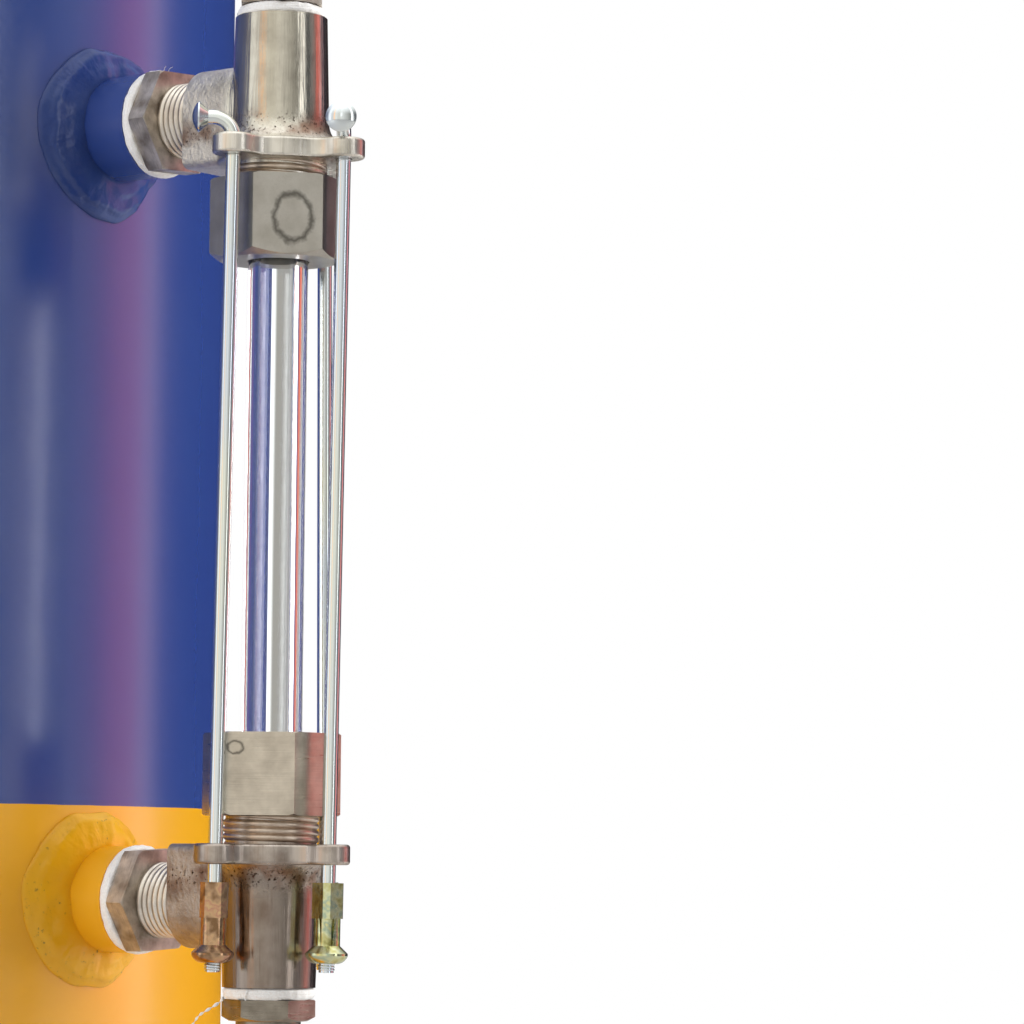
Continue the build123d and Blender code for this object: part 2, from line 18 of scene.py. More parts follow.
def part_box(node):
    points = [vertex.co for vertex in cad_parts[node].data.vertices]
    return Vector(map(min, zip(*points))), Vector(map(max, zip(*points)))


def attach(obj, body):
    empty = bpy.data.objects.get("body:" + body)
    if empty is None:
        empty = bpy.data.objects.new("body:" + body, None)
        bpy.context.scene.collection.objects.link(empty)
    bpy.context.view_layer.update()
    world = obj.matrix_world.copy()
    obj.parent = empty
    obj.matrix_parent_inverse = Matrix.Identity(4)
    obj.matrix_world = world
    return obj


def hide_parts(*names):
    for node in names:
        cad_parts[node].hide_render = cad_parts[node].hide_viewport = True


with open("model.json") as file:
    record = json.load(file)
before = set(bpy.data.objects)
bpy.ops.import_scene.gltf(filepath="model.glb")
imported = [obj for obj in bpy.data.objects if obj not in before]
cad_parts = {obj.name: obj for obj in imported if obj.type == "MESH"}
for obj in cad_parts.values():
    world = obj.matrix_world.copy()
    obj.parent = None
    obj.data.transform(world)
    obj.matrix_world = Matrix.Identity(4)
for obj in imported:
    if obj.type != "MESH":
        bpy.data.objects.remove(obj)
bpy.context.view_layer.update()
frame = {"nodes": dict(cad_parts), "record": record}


# %% Lengths, colours and nodes
def mm(value):
    """A length in millimetres, in metres."""
    return value / 1000


def linear(hex_colour):
    """An sRGB hex colour as linear RGBA, which is what a shader socket takes."""
    channels = [int(hex_colour[i:i + 2], 16) / 255 for i in (1, 3, 5)]
    return tuple(c / 12.92 if c <= 0.04045 else ((c + 0.055) / 1.055) ** 2.4 for c in channels) + (1.0,)


def feed(tree, socket, value):
    """Give a socket a value, a hex colour, another socket, or the output that a node uses."""
    if isinstance(value, bpy.types.Node):
        value = next(output for output in value.outputs if output.enabled)
    if isinstance(value, bpy.types.NodeSocket):
        tree.links.new(value, socket)
    else:
        socket.default_value = linear(value) if isinstance(value, str) else value


def add(tree, kind, inputs=None, **settings):
    """Add a node: settings are its properties, and inputs are what its sockets are fed."""
    node = tree.nodes.new(kind)
    for name, value in settings.items():
        setattr(node, name, value)
    for key, value in (inputs or {}).items():
        feed(tree, node.inputs[key], value)
    return node


print("a millimetre is", mm(1), "m")

# %% [markdown]
# Where things are
#
# The pieces that are added later have to fit the solids, so their places come from the frame and
# not from typed numbers. The shell gives the vessel's radius, the glass gives the gauge's axis, and
# the two sockets that carry the gauge give the heights of its arms.

# %% Places read from the frame
def middle(node):
    """Centre of a CAD node's box."""
    low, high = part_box(node)
    return (low + high) / 2


shell_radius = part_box("vessel_shell")[1].x
glass_axis = middle("gauge_glass")
lower_arm = middle("lower_gauge_socket").z
upper_arm = middle("upper_gauge_socket").z
paint_line = lower_arm + mm(25.5)
print("glass axis", tuple(round(c, 4) for c in glass_axis), "arms", round(lower_arm, 4), round(upper_arm, 4))

# %% [markdown]
# Camera
#
# The photograph was taken from about 1.2 m away with a long lens, from a little below the middle of
# the gauge and slightly upwards, and the vessel is cut off by the left edge. A camera can be aimed
# by a constraint, but here its axes are worked out from a heading, a rise and a roll, because these
# three numbers are what a fit to the photograph gives.

# %% Camera at the photograph's place
camera_place = Vector((-0.8861, -0.9509, 0.2456))
camera_heading = radians(52.749)  # from +Y towards +X
camera_rise = radians(4.66)
camera_roll = radians(-0.52)
camera_focal_pixels = 4359.3
image_pixels = 1024
sensor_width = 36.0
nearest, farthest = 0.01, 50.0

camera = bpy.data.objects.new("camera", bpy.data.cameras.new("camera"))
bpy.context.scene.collection.objects.link(camera)
camera.data.sensor_width = sensor_width
camera.data.lens = camera_focal_pixels / image_pixels * sensor_width
camera.data.clip_start, camera.data.clip_end = nearest, farthest
look = Vector((sin(camera_heading) * cos(camera_rise), cos(camera_heading) * cos(camera_rise),
               sin(camera_rise)))
level_right = Vector((cos(camera_heading), -sin(camera_heading), 0.0))
level_up = level_right.cross(look)
right = level_right * cos(camera_roll) - level_up * sin(camera_roll)
up = level_right * sin(camera_roll) + level_up * cos(camera_roll)
camera.matrix_world = Matrix.Translation(camera_place) @ Matrix((right, up, -look)).transposed().to_4x4()
bpy.context.scene.camera = camera
print("camera lens", round(camera.data.lens, 1), "mm")

# %% [markdown]
# Floor
#
# The vessel stands on a pale matt floor. A plain disc is enough, and towards its rim it fades into
# the white backdrop. It fades for the camera alone, so that it throws no more light on the paint.

# %% Pale floor
floor_radius = 2.4
fade_start, fade_end = 0.9, 2.3
floor_mesh = bpy.data.meshes.new("studio_floor")
floor_form = bmesh.new()
bmesh.ops.create_circle(floor_form, cap_ends=True, segments=96, radius=floor_radius)
floor_form.to_mesh(floor_mesh)
floor_form.free()
floor = bpy.data.objects.new("studio_floor", floor_mesh)
bpy.context.scene.collection.objects.link(floor)

# To the eye: matt pale ground that keeps a soft shadow and loses itself in white
floor_paint = bpy.data.materials.new("pale_floor")
floor_paint.use_nodes = True
tree = floor_paint.node_tree
tree.nodes.clear()
spot = add(tree, "ShaderNodeTexCoord").outputs["Object"]
reach = add(tree, "ShaderNodeVectorMath", {0: spot}, operation="LENGTH")
fade = add(tree, "ShaderNodeMapRange", {"Value": reach, "From Min": fade_start, "From Max": fade_end},
           interpolation_type="SMOOTHSTEP")
camera_ray = add(tree, "ShaderNodeLightPath").outputs["Is Camera Ray"]
seen = add(tree, "ShaderNodeMath", {0: fade, 1: camera_ray}, operation="MULTIPLY")
matt = add(tree, "ShaderNodeBsdfPrincipled", {"Base Color": "#d0ceca", "Roughness": 0.75})
glow = add(tree, "ShaderNodeEmission", {"Color": "#ffffff"})
mix = add(tree, "ShaderNodeMixShader", {0: seen, 1: matt, 2: glow})
add(tree, "ShaderNodeOutputMaterial", {"Surface": mix})
floor_mesh.materials.append(floor_paint)
print("floor", floor_radius * 2, "m across")

# %% [markdown]
# World
#
# Polished metal and gloss paint show little but what they mirror. A room could be built round the
# part, but a ring of colours does the same: each wall has a compass bearing, a colour and a
# brightness. Tall bright windows between darker walls draw the upright bands on the castings, and a
# red one gives the pink band on the blue paint. The camera itself sees white, and rays through the
# glass see a ring of their own, since a tube turns what stands behind it inside out.

# %% Walls round the studio
# Bearings are in degrees, from +Y towards +X
studio_walls = (
    (0, "#4f525c", 0.8), (40, "#26272c", 1.0), (86, "#3b3236", 1.0), (112, "#45475a", 1.0),
    (115, "#ffe6f0", 1.1), (119, "#ffd2dc", 1.3), (121, "#ff7c72", 1.2), (129, "#f0786e", 1.15),
    (137, "#a87a78", 0.9), (148, "#a2a5a9", 1.0), (156, "#5c5e62", 1.0), (171, "#5a5c62", 1.0),
    (173, "#ffffff", 2.2), (181, "#ffffff", 2.2), (184, "#5c5b58", 1.0), (191, "#a3a19c", 1.0),
    (206, "#c8c6c0", 1.0), (220, "#e2e0da", 1.0), (236, "#fcfaf4", 1.05), (250, "#f0ece0", 0.95),
    (266, "#fcfaf2", 1.05), (273, "#ffefd8", 1.1), (276, "#ffb066", 1.9), (279, "#f4f0e8", 1.0),
    (292, "#f4f4f2", 0.9), (296, "#ffffff", 1.3), (308, "#ffffff", 1.3), (314, "#8b8f9c", 0.9),
)
glass_backdrop = (
    (0, "#8d93b8", 1.0), (43, "#9b9cc4", 1.0), (43.8, "#ffffff", 1.6), (47.2, "#ffffff", 1.6),
    (48.5, "#a19f9d", 1.0), (70, "#a9a6a2", 1.0), (73, "#e6ded6", 1.0), (77, "#ff8a60", 1.1),
    (88, "#f4795a", 1.0), (98, "#6a5f8c", 1.0), (112, "#e8e4f4", 1.1), (150, "#8a7fb0", 1.0),
    (200, "#c9b790", 1.0), (260, "#c4b08a", 1.0), (320, "#9c97b4", 1.0),
)


def ring_of_walls(tree, share, stops):
    """A background that shows a ring of walls, by the share of a full turn that a ray points to."""
    ramp = add(tree, "ShaderNodeValToRGB", {"Fac": share})
    while len(ramp.color_ramp.elements) < len(stops):
        ramp.color_ramp.elements.new(0.5)
    brightest = max(level for _, _, level in stops)
    for stop, (angle, colour, level) in zip(ramp.color_ramp.elements, stops):
        stop.position = angle / 360
        stop.color = tuple(c * level / brightest for c in linear(colour)[:3]) + (1.0,)
    return ramp, brightest


print(len(studio_walls), "walls for mirrored rays,", len(glass_backdrop), "for rays through the glass")

# %% The world's light
world = bpy.data.worlds.new("studio")
world.use_nodes = True
bpy.context.scene.world = world
tree = world.node_tree
tree.nodes.clear()
direction = add(tree, "ShaderNodeTexCoord").outputs["Generated"]
split = add(tree, "ShaderNodeSeparateXYZ", {0: direction})
bearing = add(tree, "ShaderNodeMath", {0: split.outputs["X"], 1: split.outputs["Y"]}, operation="ARCTAN2")
turn = add(tree, "ShaderNodeMath", {0: bearing, 1: tau}, operation="DIVIDE")
share = add(tree, "ShaderNodeMath", {0: turn, 1: 1.0}, operation="FLOORED_MODULO")
walls, walls_level = ring_of_walls(tree, share, studio_walls)
backdrop, backdrop_level = ring_of_walls(tree, share, glass_backdrop)
steep = add(tree, "ShaderNodeMapRange", {"Value": split.outputs["Z"], "From Min": 0.35, "From Max": 0.95})
ceiling = add(tree, "ShaderNodeMix", {0: steep, 6: walls, 7: "#dededc"}, data_type="RGBA")
mirrored = add(tree, "ShaderNodeBackground", {"Color": ceiling, "Strength": walls_level})
through = add(tree, "ShaderNodeBackground", {"Color": backdrop, "Strength": backdrop_level})
from_above = add(tree, "ShaderNodeMapRange", {"Value": split.outputs["Z"], "From Min": -0.5, "From Max": 0.6,
                                             "To Min": 0.14, "To Max": 0.50})
shown = add(tree, "ShaderNodeBackground", {"Color": "#fbfbff", "Strength": from_above})
white = add(tree, "ShaderNodeBackground", {"Color": "#ffffff", "Strength": 1.0})
rays = add(tree, "ShaderNodeLightPath")
for ray, source in (("Is Glossy Ray", mirrored), ("Is Transmission Ray", through), ("Is Camera Ray", white)):
    shown = add(tree, "ShaderNodeMixShader", {0: rays.outputs[ray], 1: shown, 2: source})
add(tree, "ShaderNodeOutputWorld", {"Surface": shown})
bpy.context.scene.view_settings.view_transform = "Standard"
print("world has", len(tree.nodes), "nodes")

# %% [markdown]
# Lamps
#
# Three large soft lamps light the paint and the tape: the strongest on the right, where the
# photograph is brightest, one far round on the left for the tape and the sockets, and one above.
# They could also show in the metal, but then their edges would cut across the walls' bands, so
# they are hidden from mirrored rays.

# %% Three soft lamps
aim_point = Vector((0, -0.1, 0.32))


def lamp(name, bearing_angle, distance, height, size, power):
    """A soft rectangular lamp on a compass bearing round the vessel, aimed at the gauge."""
    data = bpy.data.lights.new(name, "AREA")
    data.shape = "RECTANGLE"
    data.size, data.size_y = size
    data.energy = power
    lit = bpy.data.objects.new(name, data)
    bpy.context.scene.collection.objects.link(lit)
    angle = radians(bearing_angle)
    lit.location = (sin(angle) * distance, cos(angle) * distance, height)
    lit.rotation_mode = "QUATERNION"
    lit.rotation_quaternion = (aim_point - lit.location).to_track_quat("-Z", "Y")
    lit.visible_glossy = False


lamp("left_lamp", 284, 1.8, 0.9, (0.9, 1.4), 18)
lamp("window_lamp", 126, 1.7, 0.8, (0.8, 1.6), 28)
lamp("top_lamp", 155, 1.3, 1.9, (1.2, 1.2), 9)
print("studio has", len(bpy.data.lights), "lamps")

# %% [markdown]
# What every material shares
#
# A material starts from what the real one is, as a Principled shader with typical values. Patterns
# then vary its colour, its roughness and a fine relief. Image textures could carry them, but noise
# on Object coordinates needs no image, and its scale is a real size: a noise of scale 1/size has
# features of about that size, and a Mapping node draws them out along an axis.

# %% A material's start and its patterns
cloudy = {"Detail": 4.0, "Roughness": 0.55}  # what a soft patchy noise is fed


def start(name, colour, metallic=0.0, roughness=0.4, **sockets):
    """A named material, its node tree, its Principled shader and its Object coordinates."""
    made = bpy.data.materials.new(name)
    made.use_nodes = True
    tree = made.node_tree
    tree.nodes.clear()
    shader = add(tree, "ShaderNodeBsdfPrincipled", {"Base Color": colour, "Metallic": metallic,
                                                    "Roughness": roughness})
    for socket, value in sockets.items():
        shader.inputs[socket.replace("_", " ")].default_value = value
    add(tree, "ShaderNodeOutputMaterial", {"Surface": shader})
    return made, tree, shader, add(tree, "ShaderNodeTexCoord").outputs["Object"]


def vary(tree, shader, colour=None, roughness=None, height=None, depth=0.0):
    """Let patterns drive a shader's colour, roughness and relief, which is given in metres."""
    relief = height and add(tree, "ShaderNodeBump", {"Height": height, "Distance": depth})
    for socket, pattern in (("Base Color", colour), ("Roughness", roughness), ("Normal", relief)):
        if pattern:
            feed(tree, shader.inputs[socket], pattern)


finishes = {}
print("patterns use", cloudy)

# %% [markdown]
# Enamel
#
# The vessel is welded steel under gloss enamel, blue above and yellow below a level line. The two
# colours could be two meshes, but the paint runs over one shell, so one material compares the
# height with the line, and a little noise keeps the edge from being ruler-straight. On the socket
# welds the same paint is thick and chalky, so it mirrors less, and dirt has stuck to the yellow.

# %% Gloss enamel
# To the eye: an even, deep colour under a clear skin, which mirrors the room softly
def enamel(name, colour, dusty, below=None, patch=60, relief=0.018, dirt=None, glossy=True):
    """Enamel that turns dusty in patches; below holds the two colours under the paint line."""
    made, tree, shader, place = start(name, colour, roughness=0.25, IOR=1.7 if glossy else 1.5,
                                      Specular_IOR_Level=1.0 if glossy else 0.45)
    cloud = add(tree, "ShaderNodeTexNoise", {"Vector": place, "Scale": 1 / mm(patch), **cloudy})
    skin = add(tree, "ShaderNodeTexNoise", {"Vector": place, "Scale": 1 / mm(1.6), **cloudy, "Detail": 1.0})
    dust = add(tree, "ShaderNodeMapRange", {"Value": cloud, "From Min": 0.35, "From Max": 0.75,
                                            "To Max": 0.5})
    paint = add(tree, "ShaderNodeMix", {0: dust, 6: colour, 7: dusty}, data_type="RGBA")
    if below:
        height = add(tree, "ShaderNodeSeparateXYZ", {0: place}).outputs["Z"]
        tape_edge = add(tree, "ShaderNodeTexNoise", {"Vector": place, "Scale": 1 / mm(12), **cloudy})
        wobble = add(tree, "ShaderNodeMapRange", {"Value": tape_edge, "To Min": -mm(0.2), "To Max": mm(0.2)})
        level = add(tree, "ShaderNodeMath", {0: height, 1: wobble}, operation="ADD")
        above = add(tree, "ShaderNodeMath", {0: level, 1: paint_line}, operation="GREATER_THAN")
        lower = add(tree, "ShaderNodeMix", {0: dust, 6: below[0], 7: below[1]}, data_type="RGBA")
        paint = add(tree, "ShaderNodeMix", {0: above, 6: lower, 7: paint}, data_type="RGBA")
    if dirt:
        specks = add(tree, "ShaderNodeTexNoise", {"Vector": place, "Scale": 1 / mm(1.2), **cloudy})
        spots = add(tree, "ShaderNodeMapRange", {"Value": specks, "From Min": 0.60, "From Max": 0.72})
        where = add(tree, "ShaderNodeMapRange", {"Value": cloud, "From Min": 0.45, "From Max": 0.62})
        stuck = add(tree, "ShaderNodeMath", {0: spots, 1: where}, operation="MULTIPLY")
        paint = add(tree, "ShaderNodeMix", {0: stuck, 6: paint, 7: dirt}, data_type="RGBA")
    sheen = add(tree, "ShaderNodeMapRange", {"Value": skin, "From Min": 0.2, "From Max": 0.8,
                                             "To Min": 0.20, "To Max": 0.26})
    vary(tree, shader, paint, sheen, skin, mm(relief))
    return made


# %% The vessel's paints
blue, blue_dusty = "#203d87", "#2b4789"
yellow, yellow_dusty = "#f3ab04", "#ebae0c"
finishes["blue_paint"] = enamel("blue_enamel", blue, blue_dusty)
finishes["yellow_paint"] = enamel("yellow_enamel", yellow, yellow_dusty)
finishes["two_tone_paint"] = enamel("two_tone_enamel", blue, blue_dusty, (yellow, yellow_dusty))
# To the eye: duller and patchy, as thick paint over a rough weld
finishes["blue_bead"] = enamel("chalky_blue_enamel", "#243c7c", "#3c5288", patch=9, relief=0.12, glossy=False)
finishes["yellow_bead"] = enamel("chalky_yellow_enamel", "#eaa908", "#e4b322", patch=9, relief=0.12,
                                 dirt="#5e4a14", glossy=False)
print("paints:", ", ".join(finishes))

# %% [markdown]
# Cast steel
#
# Each gauge body is a steel casting. Its cylinder was ground and polished along the glass, its side
# arm was left as cast, and rust sits in the corner behind the collar. Painted masks could tell
# these zones apart. Here each zone is worked out from the height above the arm and the distance
# along it, so that the finish follows the casting when the frame's sizes change.

# %% Ground castings
# To the eye: streaky mirror on the cylinder, dull dents on the arm, brown pits in the corner
def ground_casting(name, arm_height, collar_side, body, collar, stain):
    """Steel ground along the glass and rough on the arm, rusty and pitted behind its collar."""
    made, tree, shader, place = start(name, body, metallic=1.0, roughness=0.25)
    centred = add(tree, "ShaderNodeMapping", {"Vector": place, "Location": (0, -glass_axis.y, -arm_height)})
    parts = add(tree, "ShaderNodeSeparateXYZ", {0: centred})
    rise = add(tree, "ShaderNodeMath", {0: parts.outputs["Z"], 1: collar_side}, operation="MULTIPLY")
    along_arm = parts.outputs["Y"]
    on_arm = add(tree, "ShaderNodeMapRange", {"Value": along_arm, "From Min": mm(9), "From Max": mm(12)})
    near_collar = add(tree, "ShaderNodeMapRange", {"Value": rise, "From Min": mm(6.5), "From Max": mm(9.5)})
    rough_zone = add(tree, "ShaderNodeMath", {0: near_collar, 1: on_arm}, operation="MAXIMUM")
    corner_start = add(tree, "ShaderNodeMapRange", {"Value": rise, "From Min": mm(1), "From Max": mm(6)})
    corner_end = add(tree, "ShaderNodeMapRange", {"Value": rise, "From Min": mm(10), "From Max": mm(8)})
    corner = add(tree, "ShaderNodeMath", {0: corner_start, 1: corner_end}, operation="MULTIPLY")

    # Polishing marks are far finer than this, and are drawn this coarse so that they show
    drawn_out = add(tree, "ShaderNodeMapping", {"Vector": place, "Scale": (1, 1, 1 / 26)})
    strokes = add(tree, "ShaderNodeTexNoise", {"Vector": drawn_out, "Scale": 1 / mm(0.9), **cloudy})
    dents = add(tree, "ShaderNodeTexNoise", {"Vector": place, "Scale": 1 / mm(1.8), **cloudy,
                                             "Roughness": 0.65})
    holes = add(tree, "ShaderNodeTexNoise", {"Vector": place, "Scale": 1 / mm(0.9), **cloudy, "Detail": 2.0})
    cloud = add(tree, "ShaderNodeTexNoise", {"Vector": place, "Scale": 1 / mm(9), **cloudy, "Detail": 5.0})
    stained = add(tree, "ShaderNodeMapRange", {"Value": cloud, "From Min": 0.45, "From Max": 0.75,
                                               "To Max": 0.8})
    streaked = add(tree, "ShaderNodeMapRange", {"Value": strokes, "From Min": 0.55, "From Max": 0.75,
                                                "To Max": 0.5})
    rust = add(tree, "ShaderNodeMapRange", {"Value": cloud, "From Min": 0.42, "From Max": 0.60,
                                            "To Max": 0.75})
    pits = add(tree, "ShaderNodeMapRange", {"Value": holes, "From Min": 0.58, "From Max": 0.66})
    rusty = add(tree, "ShaderNodeMath", {0: corner, 1: rust}, operation="MULTIPLY")
    pitted = add(tree, "ShaderNodeMath", {0: corner, 1: pits}, operation="MULTIPLY")
    metal = body
    for zone, over in ((rough_zone, collar), (stained, stain), (streaked, stain),
                       (rusty, "#7a5640"), (pitted, "#3a2a20")):
        metal = add(tree, "ShaderNodeMix", {0: zone, 6: metal, 7: over}, data_type="RGBA")

    polish = add(tree, "ShaderNodeMapRange", {"Value": strokes, "From Min": 0.3, "From Max": 0.7,
                                              "To Min": 0.13, "To Max": 0.25})
    polish = add(tree, "ShaderNodeMix", {0: on_arm, 2: polish, 3: 0.34}, data_type="FLOAT")
    dull_zone = add(tree, "ShaderNodeMath", {0: corner, 1: rough_zone}, operation="MAXIMUM")
    roughness = add(tree, "ShaderNodeMath", {0: dull_zone, 1: 0.12, 2: polish}, operation="MULTIPLY_ADD")
    half_corner = add(tree, "ShaderNodeMath", {0: corner, 1: 0.5}, operation="MULTIPLY")
    dented = add(tree, "ShaderNodeMath", {0: on_arm, 1: half_corner}, operation="MAXIMUM")
    grooves = add(tree, "ShaderNodeMath", {0: strokes, 1: 0.20}, operation="MULTIPLY")
    relief = add(tree, "ShaderNodeMix", {0: dented, 2: grooves, 3: dents}, data_type="FLOAT")
    vary(tree, shader, metal, roughness, relief, mm(0.42))
    return made


finishes["upper_casting"] = ground_casting("ground_cast_steel", upper_arm, -1,
                                           "#cdc8ba", "#e2ddd3", "#aaa498")
finishes["lower_casting"] = ground_casting("stained_cast_steel", lower_arm, 1,
                                           "#9c9086", "#bfb5ac", "#776457")
print("castings at", round(upper_arm, 4), "and", round(lower_arm, 4))

# %% [markdown]
# Machined steel
#
# Nuts, plugs and hexagons are cut from bar, and their faces keep fine tool marks. A drop of water
# has dried on each nut and left a dark ring. Drawing the ring as a decal would need a second mesh,
# so the material measures how far a point is from the ring's centre, along and up the flat.

# %% Tool marks and dried rings
# To the eye: satin grey with fine strokes, and darker clouds where hands and water have been
def machined(name, colour, stain, stretch, roughness, ring=None, relief=0.06):
    """Cut steel with strokes drawn out by stretch, and the ring that a drop has left on it."""
    made, tree, shader, place = start(name, colour, metallic=1.0, roughness=roughness)
    # Tool marks are about a tenth of a millimetre wide, and are drawn coarser so that they show
    drawn_out = add(tree, "ShaderNodeMapping", {"Vector": place, "Scale": tuple(1 / s for s in stretch)})
    strokes = add(tree, "ShaderNodeTexNoise", {"Vector": drawn_out, "Scale": 1 / mm(0.5), **cloudy,
                                               "Detail": 3.0})
    cloud = add(tree, "ShaderNodeTexNoise", {"Vector": place, "Scale": 1 / mm(7), **cloudy})
    stained = add(tree, "ShaderNodeMapRange", {"Value": cloud, "From Min": 0.35, "From Max": 0.7})
    streaked = add(tree, "ShaderNodeMapRange", {"Value": strokes, "From Min": 0.55, "From Max": 0.8,
                                                "To Max": 0.45})
    metal = add(tree, "ShaderNodeMix", {0: stained, 6: colour, 7: stain}, data_type="RGBA")
    metal = add(tree, "ShaderNodeMix", {0: streaked, 6: metal, 7: stain}, data_type="RGBA")
    if ring:
        metal = add(tree, "ShaderNodeMix", {0: dried_ring(tree, place, *ring), 6: metal, 7: "#45423c"},
                    data_type="RGBA")
    satin = add(tree, "ShaderNodeMapRange", {"Value": strokes, "From Min": 0.3, "From Max": 0.7,
                                             "To Min": roughness - 0.06, "To Max": roughness + 0.08})
    vary(tree, shader, metal, satin, strokes, mm(relief))
    return made


def dried_ring(tree, place, centre, across, half_width, half_height, line):
    """How dark a dried drop's ragged ring is, round a centre on a flat whose level axis is across."""
    near = add(tree, "ShaderNodeVectorMath", {0: place, 1: centre}, operation="SUBTRACT")
    side = add(tree, "ShaderNodeVectorMath", {0: near, 1: across}, operation="DOT_PRODUCT")
    rise = add(tree, "ShaderNodeSeparateXYZ", {0: near}).outputs["Z"]
    wide = add(tree, "ShaderNodeMath", {0: side, 1: half_width}, operation="DIVIDE")
    high = add(tree, "ShaderNodeMath", {0: rise, 1: half_height}, operation="DIVIDE")
    flat = add(tree, "ShaderNodeCombineXYZ", {0: wide, 1: high})
    reach = add(tree, "ShaderNodeVectorMath", {0: flat}, operation="LENGTH")
    wander = add(tree, "ShaderNodeTexNoise", {"Vector": place, "Scale": 2 / half_width, **cloudy,
                                              "Detail": 3.0})
    ragged = add(tree, "ShaderNodeMapRange", {"Value": wander, "To Min": -0.25, "To Max": 0.25})
    bent = add(tree, "ShaderNodeMath", {0: reach, 1: ragged}, operation="ADD")
    past = add(tree, "ShaderNodeMath", {0: bent, 1: 1.0}, operation="SUBTRACT")
    off_line = add(tree, "ShaderNodeMath", {0: past}, operation="ABSOLUTE")
    return add(tree, "ShaderNodeMapRange", {"Value": off_line, "From Min": line, "From Max": 0.02,
                                            "To Max": 0.75})


# %% Where the rings are
def widest_flat(node, towards):
    """The flat of a nut that faces a direction most: its centre and its level axis."""
    flats = {}
    for face in frame["nodes"][node].data.polygons:
        if abs(face.normal.z) < 0.01 and face.normal.dot(towards) > 0.3:
            key = tuple(round(c, 2) for c in face.normal)
            area, centre = flats.get(key, (0.0, Vector()))
            flats[key] = (area + face.area, centre + face.center * face.area)
    best = max(flats, key=lambda key: flats[key][0] * Vector(key).dot(towards))
    area, centre = flats[best]
    return centre / area, Vector((0, 0, 1)).cross(Vector(best).normalized())


to_camera = (camera_place - glass_axis).normalized()
rings = {}
for nut, aside, above, half_width, half_height, line in (
        ("upper_gland_nut", mm(1.4), -mm(1.5), mm(5.0), mm(6.3), 0.22),
        ("lower_gland_nut", -mm(6.6), mm(6.8), mm(2.1), mm(1.6), 0.30)):
    centre, across = widest_flat(nut, to_camera)
    centre += across * aside + Vector((0, 0, above))
    rings[nut] = (tuple(centre), tuple(across), half_width, half_height, line)
    print(nut, "has its ring at", tuple(round(c, 4) for c in centre))

# %% Nuts, plugs, hexagons and thread steel
every_way, round_bar, along_flats, up_and_down = (1, 1, 1), (12, 12, 1), (30, 30, 1), (6, 1, 6)
finishes["upper_nut"] = machined("satin_nut_steel", "#c2beb6", "#b0aba2", every_way, 0.36,
                                 rings["upper_gland_nut"])
finishes["lower_nut"] = machined("brushed_nut_steel", "#d6cdbf", "#b3aa9d", along_flats, 0.32,
                                 rings["lower_gland_nut"])
finishes["machined_steel"] = machined("turned_steel", "#a29a8e", "#7d756a", round_bar, 0.3)
finishes["dark_steel"] = machined("stained_hexagon_steel", "#e6dfd5", "#8f8478", up_and_down, 0.5)
# To the eye: the brightest steel, since a thread is cut last and sits out of reach of dirt
finishes["thread_steel"] = machined("cut_thread_steel", "#ebe4d9", "#c4bab0", every_way, 0.34, relief=0.01)
finishes["neck_steel"] = machined("neck_thread_steel", "#e2d6c9", "#b9a593", every_way, 0.34, relief=0.01)
print(len(finishes), "finishes so far")

# %% [markdown]
# Zinc
#
# The guard rods are plated with bright zinc, and their nipples with zinc under a chromate film.
# The film is thinner than a wavelength, so its thickness gives its colour: yellow, green or rose. A
# thin-film shader could work that out, but a ramp of a few colours over noise gives the real
# piece's own tints, and the left nipple, which is rosier than the others, gets its own ramp.

# %% Zinc plating
# To the eye: bright zinc is a cool mirror, with faint streaks along the rod
made, tree, shader, place = start("bright_zinc", "#dfe3e2", metallic=1.0, roughness=0.12)
along_rod = add(tree, "ShaderNodeMapping", {"Vector": place, "Scale": (1, 1, 1 / 4)})
tint = add(tree, "ShaderNodeTexNoise", {"Vector": along_rod, "Scale": 1 / mm(14), **cloudy})
warmth = add(tree, "ShaderNodeMapRange", {"Value": tint, "From Min": 0.4, "From Max": 0.7})
plating = add(tree, "ShaderNodeMix", {0: warmth, 6: "#dbe4ee", 7: "#e9ece0"}, data_type="RGBA")
# The marks of the wire's die are finer, and are drawn coarser so that they show
drawn = add(tree, "ShaderNodeMapping", {"Vector": place, "Scale": (1, 1, 1 / 12)})
streaks = add(tree, "ShaderNodeTexNoise", {"Vector": drawn, "Scale": 1 / mm(1.5), **cloudy})
polish = add(tree, "ShaderNodeMapRange", {"Value": streaks, "From Min": 0.3, "From Max": 0.7,
                                          "To Min": 0.10, "To Max": 0.2})
vary(tree, shader, plating, polish)
finishes["bright_zinc"] = made


# To the eye: passivated zinc shimmers from one tint to the next within a few millimetres
def passivated_zinc(name, film_colours):
    """Zinc under a chromate film, whose thickness gives its colours."""
    made, tree, shader, place = start(name, film_colours[0], metallic=1.0, roughness=0.18)
    thickness = add(tree, "ShaderNodeTexNoise", {"Vector": place, "Scale": 1 / mm(4), **cloudy,
                                                 "Detail": 2.0})
    film = add(tree, "ShaderNodeValToRGB", {"Fac": thickness})
    while len(film.color_ramp.elements) < len(film_colours):
        film.color_ramp.elements.new(0.5)
    for i, (stop, colour) in enumerate(zip(film.color_ramp.elements, film_colours)):
        stop.position = 0.32 + 0.36 * i / (len(film_colours) - 1)
        stop.color = linear(colour)
    fine = add(tree, "ShaderNodeTexNoise", {"Vector": place, "Scale": 1 / mm(0.8), **cloudy})
    polish = add(tree, "ShaderNodeMapRange", {"Value": fine, "From Min": 0.3, "From Max": 0.7,
                                              "To Min": 0.13, "To Max": 0.26})
    vary(tree, shader, film, polish)
    return made


